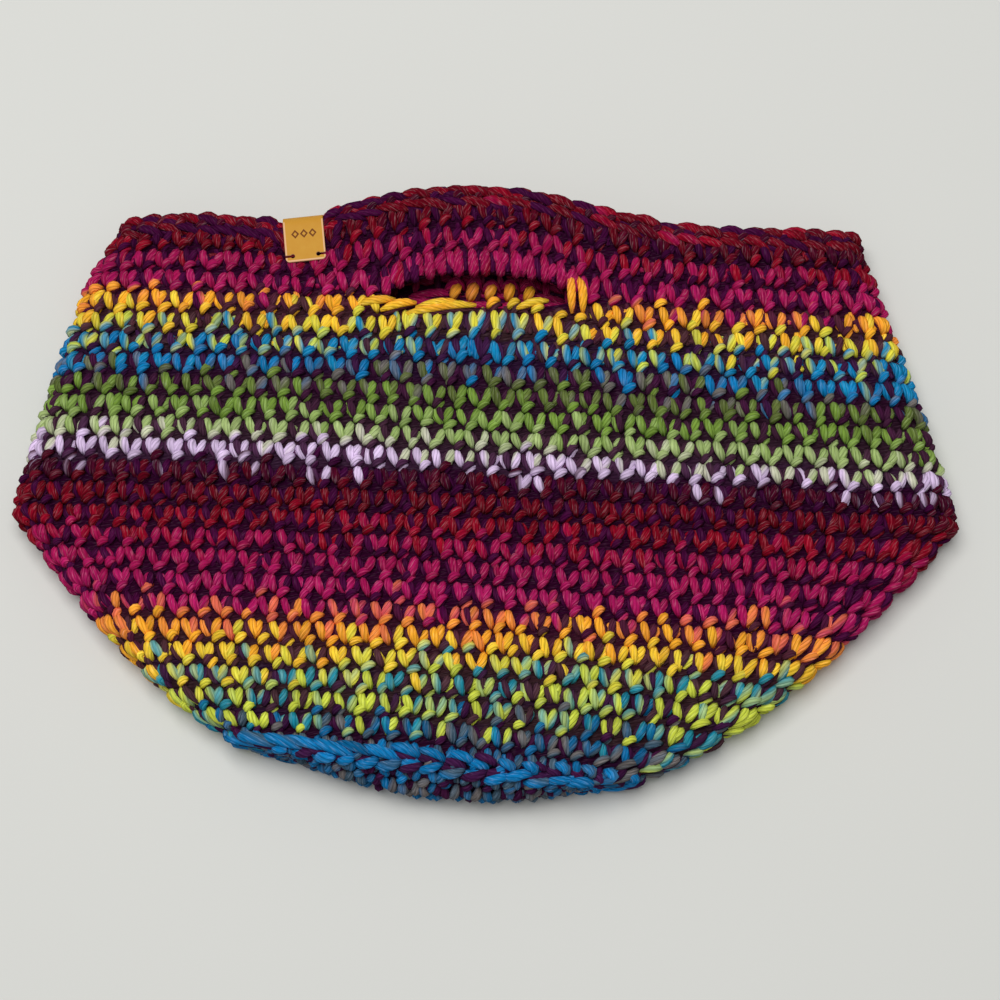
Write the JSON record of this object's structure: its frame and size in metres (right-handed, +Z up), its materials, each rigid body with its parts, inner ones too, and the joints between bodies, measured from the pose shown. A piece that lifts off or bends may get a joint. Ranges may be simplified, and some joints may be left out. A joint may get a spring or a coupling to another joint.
{
  "type": "crochet tote bag",
  "caption": "Soft tote bag crocheted in the round from striped double-strand yarn, with hand slots below the rim and a small folded leather tag, lying flat.",
  "frame": {"origin": "centre of the footprint, on the surface that the bag lies on", "axes": "+X across the bag along its longest side, +Y towards the mouth, +Z up out of the front"},
  "size_m": [0.4042, 0.2664, 0.0305],
  "materials": {
    "yarn": "thick soft double-strand yarn in single crochet, one strand rainbow-striped and one dark plum",
    "tag_leather": "smooth tan leather with pale cut edges"
  },
  "bodies": {
    "root": {"bag_body": "yarn", "leather_tag": "tag_leather"}
  },
  "joints": []
}
